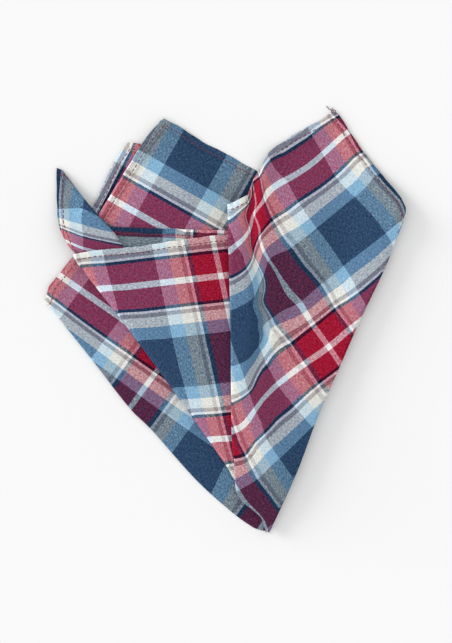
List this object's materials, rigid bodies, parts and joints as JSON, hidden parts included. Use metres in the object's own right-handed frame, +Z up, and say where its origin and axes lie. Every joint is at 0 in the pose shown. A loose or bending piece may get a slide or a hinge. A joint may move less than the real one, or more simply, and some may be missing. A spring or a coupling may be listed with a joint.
{
  "type": "pocket square",
  "caption": "Checked cotton pocket square, pinched at its centre and laid flat as a pointed fan of folds with its corners spread at the top.",
  "frame": {"origin": "under the middle of the fan's outline, on the surface that it lies on", "axes": "+Z up from the surface, +Y from the pinched end towards the spread corners, +X to the right of the fan seen from above"},
  "size_m": [0.1975, 0.2304, 0.0127],
  "materials": {
    "cloth": "matte plain-weave cotton in a navy, crimson, light blue and cream check"
  },
  "bodies": {
    "root": {"cloth": "cloth"}
  },
  "joints": []
}
